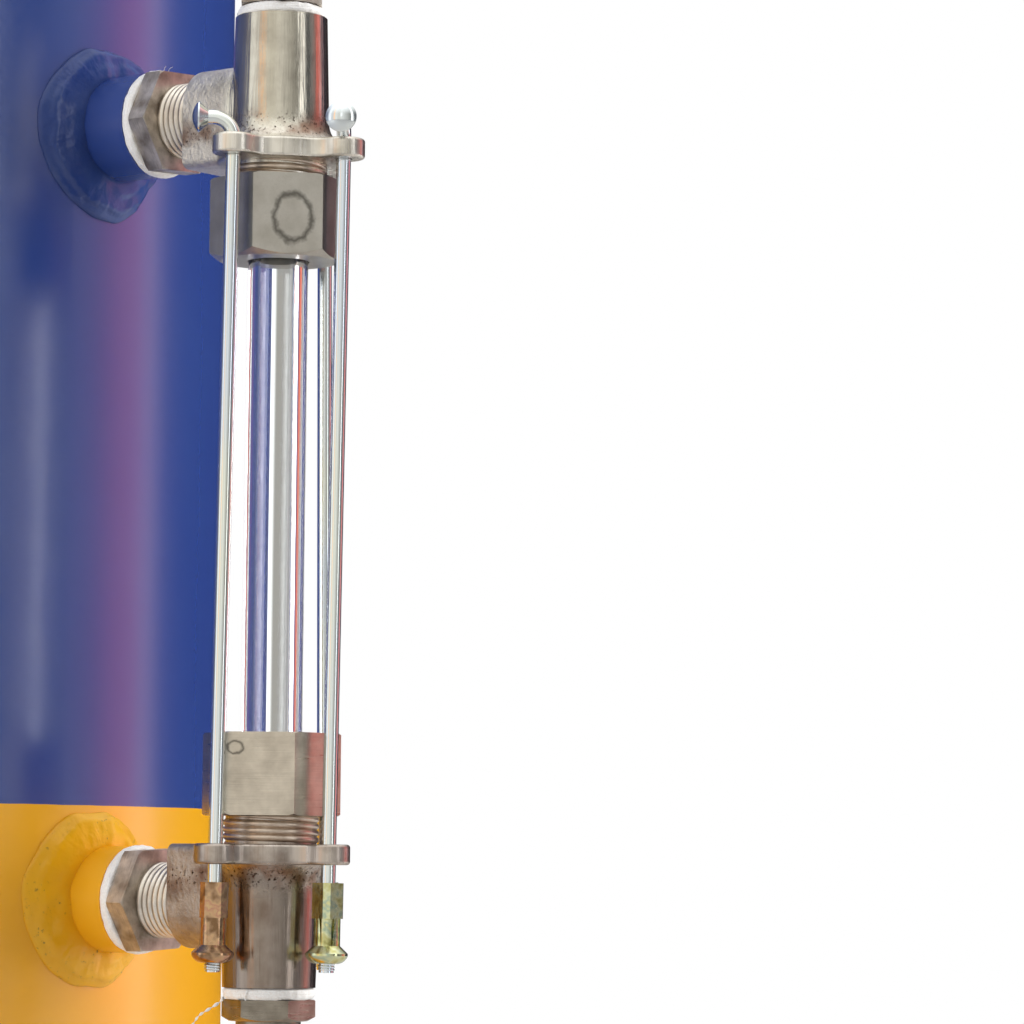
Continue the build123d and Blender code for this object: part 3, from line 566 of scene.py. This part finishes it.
finishes["yellow_zinc"] = passivated_zinc("olive_passivated_zinc",
                                          ("#a09c60", "#c6c38a", "#d4d7ae", "#adbda6", "#d6d098"))
finishes["rose_zinc"] = passivated_zinc("rose_passivated_zinc",
                                        ("#7f6246", "#a5866a", "#c2a07a", "#b88a72", "#cdae80"))
print("zinc:", ", ".join(name for name in finishes if "zinc" in name))

# %% [markdown]
# Glass, tape and rubber
#
# The tube is drawn glass, so its wall waves a little along its length. Thread tape is a white
# plastic film, and the packing in the gland nuts is black rubber. Light also scatters a little
# inside the film, but it is so thin that a matt white shader and one noise do as well.

# %% Glass, tape and rubber
# To the eye: the glass bends what is behind it into upright stripes, slightly wavy
made, tree, shader, place = start("gauge_glass_tube", "#fbfdfd", roughness=0.0, IOR=1.5,
                                  Transmission_Weight=1.0)
drawn = add(tree, "ShaderNodeMapping", {"Vector": place, "Scale": (1, 1, 1 / 8)})
waves = add(tree, "ShaderNodeTexNoise", {"Vector": drawn, "Scale": 1 / mm(9), **cloudy, "Detail": 1.0})
vary(tree, shader, height=waves, depth=mm(0.02))
finishes["clear_glass"] = made

# To the eye: the tape is the whitest thing on the part, matt and softly creased
made, tree, shader, place = start("thread_sealing_tape", "#fffdf9", roughness=0.5, Specular_IOR_Level=0.9,
                                  Sheen_Weight=0.3)
creases = add(tree, "ShaderNodeTexNoise", {"Vector": place, "Scale": 1 / mm(0.5), **cloudy})
handled = add(tree, "ShaderNodeMapRange", {"Value": creases, "From Min": 0.4, "From Max": 0.8})
film = add(tree, "ShaderNodeMix", {0: handled, 6: "#fffefb", 7: "#f1ebe4"}, data_type="RGBA")
vary(tree, shader, film, height=creases, depth=mm(0.15))
finishes["sealing_tape"] = made

# To the eye: the rubber is a dull black rim where the glass enters a nut
made, tree, shader, place = start("packing_rubber", "#161616", roughness=0.6)
skin = add(tree, "ShaderNodeTexNoise", {"Vector": place, "Scale": 1 / mm(0.8), **cloudy})
vary(tree, shader, height=skin, depth=mm(0.05))
finishes["packing_rubber"] = made
print("finishes:", ", ".join(sorted(finishes)))

# %% [markdown]
# Finishes on the solids
#
# Each solid has a material slot in the record, and takes the finish of that name. Five pieces look
# different from the rest of their slot, so they are named here with a finish of their own.

# %% Each solid gets its finish
own_finish = {"upper_gauge_body": "upper_casting", "lower_gauge_body": "lower_casting",
              "upper_gland_nut": "upper_nut", "lower_gland_nut": "lower_nut", "rod_nipple_left": "rose_zinc"}
slot_of = {part["node"]: part["material_slot"] for part in frame["record"]["subparts"]}
for name, node in frame["nodes"].items():
    for holder in node.material_slots:
        holder.material = finishes[own_finish.get(name, slot_of[name])]
print(len(slot_of), "solids dressed")

# %% [markdown]
# Weld beads
#
# A welder laid each fillet by hand in several runs, and it was painted over, so it is wider in one
# place than in another and shows faint ripples. The CAD beads are smooth rings. A displacement on
# them would move their toes off the steel, so each bead is swept anew as one closed ring: a toe
# line on each of the two parts that it joins, a rounded back between them, and a buried root.

# %% Rings of points as pieces
def around(values, angle):
    """A value that changes smoothly round a ring, given at even steps from angle zero."""
    place = angle / tau * len(values)
    low = int(place) % len(values)
    share = place - int(place)
    share = share * share * (3 - 2 * share)
    return values[low] * (1 - share) + values[(low + 1) % len(values)] * share


def rough(angle, size, seed, along=0.0):
    """Noise that closes up round a ring: about one bump per size, in radians."""
    return noise.noise(Vector((cos(angle) / size, sin(angle) / size, seed + along)))


def as_piece(name, form, finish):
    """A smooth mesh object with its faces outward, from a form that is then freed."""
    bmesh.ops.recalc_face_normals(form, faces=form.faces)
    mesh = bpy.data.meshes.new(name)
    form.to_mesh(mesh)
    form.free()
    mesh.shade_smooth()
    mesh.materials.append(finishes[finish])
    piece = bpy.data.objects.new(name, mesh)
    bpy.context.scene.collection.objects.link(piece)
    return piece


def ring_piece(name, rows, finish):
    """A closed ring of points, row by row, as a piece."""
    form = bmesh.new()
    grid = [[form.verts.new(point) for point in row] for row in rows]
    for row, after in zip(grid, grid[1:] + grid[:1]):
        for i in range(len(row)):
            j = (i + 1) % len(row)
            form.faces.new((row[i], row[j], after[j], after[i]))
    return as_piece(name, form, finish)


def settle(piece, slot, *nodes):
    """Let a finished piece ride on the part in place of the nodes named; slot is not used."""
    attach(piece, "root")
    if nodes:
        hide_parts(*nodes)
    print(piece.name, len(piece.data.polygons), "faces")


# %% How a bead is swept
ripple_pitch, ripple_height = mm(2.8), mm(0.07)
run_height = mm(0.24)
toe_depth, root_depth = mm(1.0), mm(0.8)


def sweep_bead(name, slot, finish, node, first, second, root, back, radius, steps=420, across=18):
    """Sweep a bead whose toes are first(angle) and second(angle), with its root buried."""
    rows = []
    for i in range(steps):
        angle = tau * i / steps
        toe, far_toe, deep = first(angle), second(angle), root(angle)
        out = ((toe + far_toe) / 2 - deep).normalized()
        drift = rough(angle, 0.12, 3.0) * 1.4
        row = []
        for j in range(across + 1):
            share = j / across
            crown = sin(pi * share) ** 0.75
            wave = angle * radius / ripple_pitch + drift - 1.2 * (1 - (2 * share - 1) ** 2)
            ripple = abs(sin(pi * wave)) - 0.6
            runs = sin(5 * pi * share + rough(angle, 0.4, 8.0) * 3.0)
            lumps = rough(angle, 0.35, 5.0, share * 2) + 0.5 * rough(angle, 0.12, 6.0, share * 5)
            lift = back * (1 + 0.22 * lumps) + ripple_height * ripple + run_height * runs
            row.append(toe.lerp(far_toe, share) + out * lift * crown)
        buried = [far_toe - out * toe_depth, deep - out * root_depth, toe - out * toe_depth]
        rows.append(row + buried)
    settle(ring_piece(name, rows, finish), slot, node)


print("ripples every", ripple_pitch * 1000, "mm")

# %% [markdown]
# Beads round the sockets
#
# A socket meets the round shell along a curved line, so the bead's toes have to follow the shell.
# A boolean could find that line. Here a function puts each toe point on the shell, and a short list
# of widths, read from the photograph round the socket, makes the bead lopsided as the real one is.

# %% Beads round the sockets in the shell
def on_shell(height, side, angle, reach, rise):
    """A point beside the shell, by its angle and reach round a socket and its rise off the shell."""
    x = reach * cos(angle)
    return Vector((x, side * (sqrt(shell_radius ** 2 - x * x) + rise), height + reach * sin(angle)))


def wall_bead(name, slot, node, height, side, radius, widths, seed):
    """Bead round a socket in the shell: side is -1 for the gauge's sockets and 1 for the drain."""
    def on_socket(angle):
        climb = mm(3.4) + mm(0.8) * rough(angle, 0.4, seed + 20)
        return on_shell(height, side, angle, radius - mm(0.05), climb)

    def on_wall(angle):
        width = mm(around(widths, angle) + 0.7 * rough(angle, 0.3, seed))
        return on_shell(height, side, angle, radius + width, -mm(0.15))

    def buried(angle):
        return on_shell(height, side, angle, radius - mm(0.6), -mm(0.6))

    sweep_bead(name, slot, slot.replace("paint", "bead"), node, on_socket, on_wall, buried,
               back=mm(2.3), radius=radius * 1.4)


def radius_across(node):
    """Half of a CAD node's width along x."""
    low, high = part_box(node)
    return (high.x - low.x) / 2


gauge_radius = radius_across("upper_gauge_socket")
drain_radius = radius_across("drain_socket")
wall_bead("upper_socket_bead", "blue_paint", "upper_socket_weld", upper_arm, -1, gauge_radius,
          (5.0, 5.2, 6.9, 10.4, 12.8, 12.2, 11.4, 6.8), 11.0)
wall_bead("lower_socket_bead", "yellow_paint", "lower_socket_weld", lower_arm, -1, gauge_radius,
          (5.0, 5.6, 9.0, 11.8, 13.4, 12.0, 9.6, 5.6), 31.0)
wall_bead("drain_socket_bead", "yellow_paint", "drain_socket_weld", middle("drain_socket").z, 1, drain_radius,
          (8.0, 7.2, 7.6, 8.6, 7.8, 8.4, 7.4, 8.2), 51.0)

# %% [markdown]
# Beads round the vessel
#
# The two dished ends, the foot ring and the crown's socket are welded on all the way round. These
# seams are level circles, so two circles with a little noise in radius and height are their toes.
# They are more even than the fillets by the gauge, because such seams are laid on a turntable.

# %% Level seams
toe_inset = mm(0.05)
girth_margin, girth_wander = mm(0.8), mm(0.7)


def level_ring(radius, height):
    """A function of the angle that gives points on a level circle round the vessel."""
    return lambda angle: Vector((radius * cos(angle), radius * sin(angle), height))


def uneven_ring(radius, height, out, up, seed):
    """A level circle whose radius and height wander by out and up metres."""
    def point(angle):
        share = rough(angle, 0.15, seed)
        reach = radius + out * share
        return Vector((reach * cos(angle), reach * sin(angle), height + up * share))
    return point


for name, slot in (("upper_girth", "blue_paint"), ("lower_girth", "yellow_paint")):
    low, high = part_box(name + "_weld")
    sweep_bead(name + "_bead", slot, slot, name + "_weld",
               uneven_ring(shell_radius - toe_inset, low.z + girth_margin, 0, girth_wander, 61.0),
               uneven_ring(shell_radius - toe_inset, high.z - girth_margin, 0, girth_wander, 71.0),
               level_ring(shell_radius - mm(3), (low.z + high.z) / 2), mm(1.3), shell_radius, 1400, 14)

low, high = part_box("foot_ring_weld")
foot_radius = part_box("foot_ring")[1].x
sweep_bead("foot_ring_bead", "yellow_paint", "yellow_paint", "foot_ring_weld",
           uneven_ring(foot_radius - toe_inset, low.z + girth_margin, 0, girth_wander, 81.0),
           uneven_ring(high.x - mm(1.2), high.z - mm(2.4), mm(0.5), mm(0.5), 91.0),
           level_ring(foot_radius - mm(2), high.z - mm(1)), mm(0.6), foot_radius, 1200, 14)

low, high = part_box("top_socket_weld")
sweep_bead("top_socket_bead", "blue_paint", "blue_paint", "top_socket_weld",
           uneven_ring(drain_radius - toe_inset, high.z - mm(0.5), 0, mm(0.5), 101.0),
           uneven_ring(high.x - mm(0.6), low.z + mm(0.9), mm(0.5), -mm(0.06), 111.0),
           level_ring(drain_radius - mm(0.5), low.z), mm(1.0), drain_radius * 1.3)

# %% [markdown]
# Rings of sealing tape
#
# White tape is wound on each pipe thread before it is screwed home, and what is squeezed out shows
# as an uneven ring. A cloth simulation could crumple it, but at this size it would show as no more
# than a ragged edge, so each ring is swept round its axis with a few wraps in its outline.

# %% Wound tape
wrap_count, wrap_relief = 4, mm(0.10)
fold_relief, edge_wander = mm(0.22), mm(0.12)
worn_edge, ring_slack = mm(0.9), mm(0.25)
tape_thickness, side_gap = mm(3.0), mm(0.1)
tape_steps, tape_points = 240, 12


def tape_ring(name, node, axis, low_share=1.0, high_share=1.0, seed=0.0):
    """An uneven ring of wound tape in place of a CAD ring; the shares narrow its two ends."""
    low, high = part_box(node)
    centre = (low + high) / 2
    outer = (high.x - low.x) / 2
    width = (high.y - low.y) if axis == "y" else (high.z - low.z)
    core = outer - tape_thickness
    rows = []
    for i in range(tape_steps):
        angle = tau * i / tape_steps
        outline = []
        for j in range(tape_points + 1):
            share = j / tape_points
            wraps = wrap_relief * sin(share * wrap_count * tau + 2 * rough(angle, 0.5, seed))
            folds = fold_relief * rough(angle, 0.12, seed + 5, share * 2)
            worn = worn_edge * abs(2 * share - 1) ** 4
            taper = low_share + (high_share - low_share) * share
            across = (share - 0.5) * (width - side_gap) + edge_wander * rough(angle, 0.2, seed + 9)
            outline.append((outer * taper - ring_slack - worn + (wraps + folds), across))
        outline += [(core, width * 0.4), (core, -width * 0.4)]
        if axis == "y":
            row = [Vector((centre.x + r * cos(angle), centre.y + across, centre.z + r * sin(angle)))
                   for r, across in outline]
        else:
            row = [Vector((centre.x + r * cos(angle), centre.y + r * sin(angle), centre.z + across))
                   for r, across in outline]
        rows.append(row)
    settle(ring_piece(name, rows, "sealing_tape"), "sealing_tape", node)


tape_ring("upper_arm_wrap", "upper_arm_tape", "y", seed=2.0)
tape_ring("lower_arm_wrap", "lower_arm_tape", "y", seed=12.0)
tape_ring("upper_plug_wrap", "upper_plug_tape", "z", 1.0, 0.90, seed=22.0)
tape_ring("lower_plug_wrap", "lower_plug_tape", "z", 0.97, 1.0, seed=32.0)

# %% [markdown]
# Loose tape
#
# The end of the tape was torn off by hand, so a twisted strand hangs from the lower plug, a scrap
# stands off beside it, and two threads of it stick up on the upper arm. A curve with a bevel can't
# be flat and twist evenly, so a flat oval is carried along smoothed points and turned as it goes.

# %% Strands
points_between, points_round = 8, 10
tip_share = 0.3
strand_side = Vector((0.3, 0.2, 0.9))  # any direction that no strand runs along


def smooth_point(points, at):
    """A point on the smooth curve through some points; at counts them, with fractions between."""
    k = min(int(at), len(points) - 2)
    before, first = points[max(k - 1, 0)], points[k]
    second, after = points[k + 1], points[min(k + 2, len(points) - 1)]
    t = at - k
    spot = 0.5 * (2 * first + (second - before) * t
                  + (2 * before - 5 * first + 4 * second - after) * t ** 2
                  + (3 * first - before - 3 * second + after) * t ** 3)
    return spot, (second - first).normalized()


def strand(name, points, wide, thin, turns):
    """A flat strand of tape that twists along smoothed points and narrows to its free end."""
    form = bmesh.new()
    rows = []
    count = points_between * (len(points) - 1)
    for i in range(count + 1):
        spot, along = smooth_point(points, i / points_between)
        across = along.cross(strand_side).normalized()
        other = along.cross(across)
        size = 1 - (1 - tip_share) * i / count
        spin = turns * tau * i / count
        row = []
        for j in range(points_round):
            a = wide * size * cos(tau * j / points_round)
            b = thin * size * sin(tau * j / points_round)
            level, upright = a * cos(spin) - b * sin(spin), a * sin(spin) + b * cos(spin)
            row.append(form.verts.new(spot + across * level + other * upright))
        rows.append(row)
    for row, after in zip(rows, rows[1:]):
        for j in range(points_round):
            k = (j + 1) % points_round
            form.faces.new((row[j], row[k], after[k], after[j]))
    form.faces.new(rows[0])
    form.faces.new(rows[-1])
    settle(as_piece(name, form, "sealing_tape"), "sealing_tape")


def beside(start, steps):
    """Points beside a start, each by its millimetres to the camera's right and upwards."""
    return [start + level_right * mm(across) + Vector((0, 0, mm(rise))) for across, rise in steps]


# %% Loose ends by the lower plug and the upper arm
low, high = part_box("lower_plug_tape")
plug_radius = (high.x - low.x) / 2
plug_tape = Vector((glass_axis.x, glass_axis.y, (low.z + high.z) / 2))
tape_left = plug_tape - level_right * (plug_radius - mm(0.9))
strand("loose_tape_end", beside(tape_left, (
    (2.5, 0.3), (0.4, -0.4), (-1.2, -2.4), (-4.2, -4.4), (-6.6, -6.0), (-8.2, -8.2), (-10.2, -10.6),
    (-11.0, -13.4))), mm(0.62), mm(0.14), 5.0)

torn_aside = mm(5.4)
to_lens = Vector((-look.x, -look.y, 0)).normalized()
tape_front = plug_tape - level_right * torn_aside + to_lens * sqrt(plug_radius ** 2 - torn_aside ** 2)
strand("torn_tape", beside(tape_front, ((0.5, 1.0), (0, 0.2), (-0.3, -0.9), (0.1, -1.6))),
       mm(0.45), mm(0.12), 0.4)

low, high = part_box("upper_arm_tape")
tape_top = Vector((0, low.y + mm(0.9), high.z - mm(0.4)))
strand("tape_hair_1", beside(tape_top, ((0, 0), (0.18, 1.02), (0.6, 1.7))), mm(0.10), mm(0.07), 0.5)
strand("tape_hair_2", beside(tape_top, ((1.2, 0), (1.59, 0.9), (2.5, 1.5))), mm(0.10), mm(0.07), 0.5)

# %% [markdown]
# Threads
#
# A pipe thread shows between each hexagon and its casting, and between each collar and its nut, and
# the sockets and the rods' ends are threaded too. The CAD leaves threads as plain cylinders at
# their core. The Screw modifier can make one, but here every thread is one Geometry Nodes tree: a
# tooth swept along a spiral, with its ends running out to nothing. The tree takes the core radius,
# the tooth's height, the pitch and the number of turns, so one tree makes all nine threads. The
# tooth's foot is wider than the pitch, so that neighbours meet just above the core and hide it.

# %% The thread's node tree
foot_share, crest_share = 1.8, 0.44  # the tooth's widths, as shares of the pitch
thread_tree = bpy.data.node_groups.new("screw_thread", "GeometryNodeTree")
thread_tree.is_modifier = True
sockets = {}
for label, kind in (("Core", "Float"), ("Tooth", "Float"), ("Pitch", "Float"), ("Turns", "Float"),
                    ("Steps", "Int"), ("Finish", "Material")):
    socket = thread_tree.interface.new_socket(label, in_out="INPUT", socket_type="NodeSocket" + kind)
    sockets[label] = socket.identifier
thread_tree.interface.new_socket("Mesh", in_out="OUTPUT", socket_type="NodeSocketGeometry")
given = add(thread_tree, "NodeGroupInput").outputs
length = add(thread_tree, "ShaderNodeMath", {0: given["Pitch"], 1: given["Turns"]}, operation="MULTIPLY")
spiral = add(thread_tree, "GeometryNodeCurveSpiral", {
    "Resolution": given["Steps"], "Rotations": given["Turns"], "Start Radius": given["Core"],
    "End Radius": given["Core"], "Height": length})
upright = add(thread_tree, "GeometryNodeSetCurveNormal", {"Curve": spiral}, mode="Z_UP")
place = add(thread_tree, "GeometryNodeSplineParameter")
from_end = add(thread_tree, "ShaderNodeMath", {0: 1.0, 1: place}, operation="SUBTRACT")
to_end = add(thread_tree, "ShaderNodeMath", {0: place, 1: from_end}, operation="MINIMUM")
thirds = add(thread_tree, "ShaderNodeMath", {0: given["Turns"], 1: 3.0}, operation="MULTIPLY")
run_out = add(thread_tree, "ShaderNodeMath", {0: to_end, 1: thirds}, operation="MULTIPLY")
no_more = add(thread_tree, "ShaderNodeMath", {0: run_out, 1: 1.0}, operation="MINIMUM")
full = add(thread_tree, "ShaderNodeMath", {0: no_more, 1: 0.05}, operation="MAXIMUM")

# %% The tooth and the sweep
tall = add(thread_tree, "ShaderNodeMath", {0: given["Tooth"], 1: 2.0}, operation="MULTIPLY")
foot = add(thread_tree, "ShaderNodeMath", {0: given["Pitch"], 1: foot_share}, operation="MULTIPLY")
crest = add(thread_tree, "ShaderNodeMath", {0: given["Pitch"], 1: crest_share}, operation="MULTIPLY")
tooth = add(thread_tree, "GeometryNodeCurvePrimitiveQuadrilateral", {
    "Height": tall, "Bottom Width": foot, "Top Width": crest, "Offset": 0.0}, mode="TRAPEZOID")
outward = add(thread_tree, "GeometryNodeTransform", {"Geometry": tooth, "Rotation": (0, 0, pi / 2)})
swept = add(thread_tree, "GeometryNodeCurveToMesh", {"Curve": upright, "Profile Curve": outward,
                                                     "Scale": full, "Fill Caps": True})
real = add(thread_tree, "GeometryNodeRealizeInstances", {"Geometry": swept})
dressed = add(thread_tree, "GeometryNodeSetMaterial", {"Geometry": real, "Material": given["Finish"]})
add(thread_tree, "NodeGroupOutput", {0: dressed})
print("thread tree has", len(thread_tree.nodes), "nodes")


# %% Threads baked in place
def screw_thread(name, slot, finish, start, along, length, core, tooth, pitch, steps=72):
    """A thread from a start point along a direction; a negative tooth points inward."""
    carrier = bpy.data.objects.new(name + "_carrier", bpy.data.meshes.new(name + "_carrier"))
    bpy.context.scene.collection.objects.link(carrier)
    modifier = carrier.modifiers.new("thread", "NODES")
    modifier.node_group = thread_tree
    for label, value in (("Core", core), ("Tooth", tooth), ("Pitch", pitch), ("Turns", length / pitch),
                         ("Steps", steps), ("Finish", finishes[finish])):
        modifier[sockets[label]] = value
    baked = bpy.data.meshes.new_from_object(carrier.evaluated_get(bpy.context.evaluated_depsgraph_get()))
    bpy.data.objects.remove(carrier)
    baked.transform(Matrix.Translation(start) @ along.to_track_quat("Z", "Y").to_matrix().to_4x4())
    form = bmesh.new()
    form.from_mesh(baked)
    bpy.data.meshes.remove(baked)
    settle(as_piece(name, form, finish), slot)


gauge_pitch = mm(1.814)
arm_core, arm_tooth = mm(9.3), mm(0.95)
neck_core, neck_tooth = mm(12.05), mm(0.75)
hexagon_width, collar_reach, nut_gap = mm(5.8), mm(15.2), mm(0.1)
for name, height, up in (("upper", upper_arm, -1), ("lower", lower_arm, 1)):
    boss_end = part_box(name + "_gauge_body")[1].y
    hexagon_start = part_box(name + "_arm_tape")[0].y - hexagon_width
    screw_thread(name + "_arm_thread", "dark_steel", "thread_steel", Vector((0, boss_end, height)),
                 Vector((0, 1, 0)), hexagon_start - boss_end, arm_core, arm_tooth, gauge_pitch)
    nut_low, nut_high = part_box(name + "_gland_nut")
    nut_start = nut_low.z if up > 0 else nut_high.z
    collar_face = height + up * collar_reach
    neck_length = abs(nut_start - collar_face) - nut_gap
    screw_thread(name + "_neck_thread", "cast_steel", "neck_steel", Vector((0, glass_axis.y, collar_face)),
                 Vector((0, 0, up)), neck_length, neck_core, neck_tooth, gauge_pitch)

# %% Threads in the two large sockets
socket_pitch, socket_bore, socket_tooth = mm(2.309), mm(15.2), -mm(0.6)
lead_in, socket_thread_length, socket_steps = mm(1.8), mm(18), 96
crown_mouth = Vector((0, 0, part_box("top_socket")[1].z))
drain_mouth = Vector((0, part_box("drain_socket")[1].y, middle("drain_socket").z))
for node, mouth, along in (("top_socket", crown_mouth, Vector((0, 0, -1))),
                           ("drain_socket", drain_mouth, Vector((0, -1, 0)))):
    screw_thread(node + "_thread", slot_of[node], "thread_steel", mouth + along * lead_in, along,
                 socket_thread_length, socket_bore, socket_tooth, socket_pitch, socket_steps)

# %% Threads on the ends of the guard rods
rod_pitch, rod_core, rod_tooth, rod_steps = mm(0.7), mm(1.92), mm(0.26), 48
rod_point, nipple_overlap = mm(0.3), mm(0.2)
for side in ("left", "front", "right"):
    rod_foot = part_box("guard_rod_" + side)[0].z + rod_point
    nipple = middle("rod_nipple_" + side)
    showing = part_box("rod_nipple_" + side)[0].z - rod_foot
    screw_thread("rod_thread_" + side, "bright_zinc", "bright_zinc", Vector((nipple.x, nipple.y, rod_foot)),
                 Vector((0, 0, 1)), showing + nipple_overlap, rod_core, rod_tooth, rod_pitch, rod_steps)
